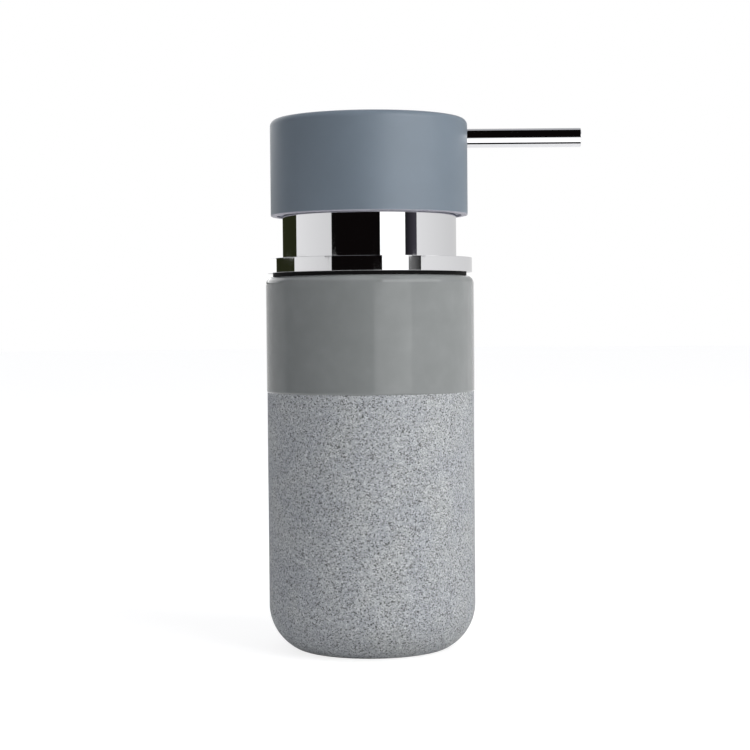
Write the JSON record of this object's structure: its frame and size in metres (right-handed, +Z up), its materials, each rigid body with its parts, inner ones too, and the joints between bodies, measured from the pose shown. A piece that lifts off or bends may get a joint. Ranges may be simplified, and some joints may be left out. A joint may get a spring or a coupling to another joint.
{
  "type": "soap pump dispenser",
  "caption": "Cylindrical stoneware soap bottle with a push-in chrome-collared pump, a wide press-down cap and a thin straight spout.",
  "frame": {"origin": "centre of the round foot, on the surface that the bottle stands on", "axes": "+Z up along the bottle's axis, +X along the spout, from the axis to its tip"},
  "size_m": [0.1063, 0.07, 0.1776],
  "materials": {
    "stoneware": "matt speckled body with a gloss grey glaze on its upper third",
    "chrome_shell": "mirror",
    "chrome_tube": "mirror",
    "blue_grey_plastic": "satin, moulded",
    "grey_plastic": "satin, moulded",
    "white_plastic": "moulded",
    "natural_plastic": "translucent, moulded",
    "black_silicone": "matt, moulded",
    "steel": "bright stainless"
  },
  "bodies": {
    "bottle": {"ceramic_bottle": "stoneware", "mouth_insert": "white_plastic"},
    "pump": {"mouth_seal": "black_silicone", "collar_shell": "chrome_shell", "collar_core": "white_plastic", "housing_gasket": "black_silicone", "pump_housing": "natural_plastic", "stem_guide": "natural_plastic", "stem_wiper": "black_silicone", "snap_ring": "white_plastic", "ball_cage": "natural_plastic", "dip_tube": "natural_plastic"},
    "ball": {"inlet_ball": "steel"},
    "spring": {"return_spring": "steel"},
    "head": {"cap_shell": "blue_grey_plastic", "cap_liner": "grey_plastic", "spout_elbow": "grey_plastic", "spout_o_ring": "black_silicone", "spout_tube": "chrome_tube", "stem": "white_plastic", "piston_rod": "white_plastic"},
    "piston": {"piston_seal": "natural_plastic"}
  },
  "joints": [
    {"name": "pump_lift", "type": "slide", "parent": "bottle", "child": "pump", "axis": [0, 0, 1], "range_m": [0, 0.125]},
    {"name": "head_turn", "type": "hinge", "parent": "pump", "child": "spring", "pos_m": [0, 0, 0.13], "axis": [0, 0, 1], "continuous": true},
    {"name": "cap_press", "type": "slide", "parent": "spring", "child": "head", "axis": [0, 0, -1], "range_m": [0, 0.0125], "stiffness_N_per_m": 600, "springref_m": -0.01, "deforming": ["return_spring"]},
    {"name": "piston_play", "type": "slide", "parent": "head", "child": "piston", "axis": [0, 0, 1], "range_m": [0, 0.001]},
    {"name": "ball_lift", "type": "slide", "parent": "pump", "child": "ball", "axis": [0, 0, 1], "range_m": [0, 0.0015]}
  ]
}
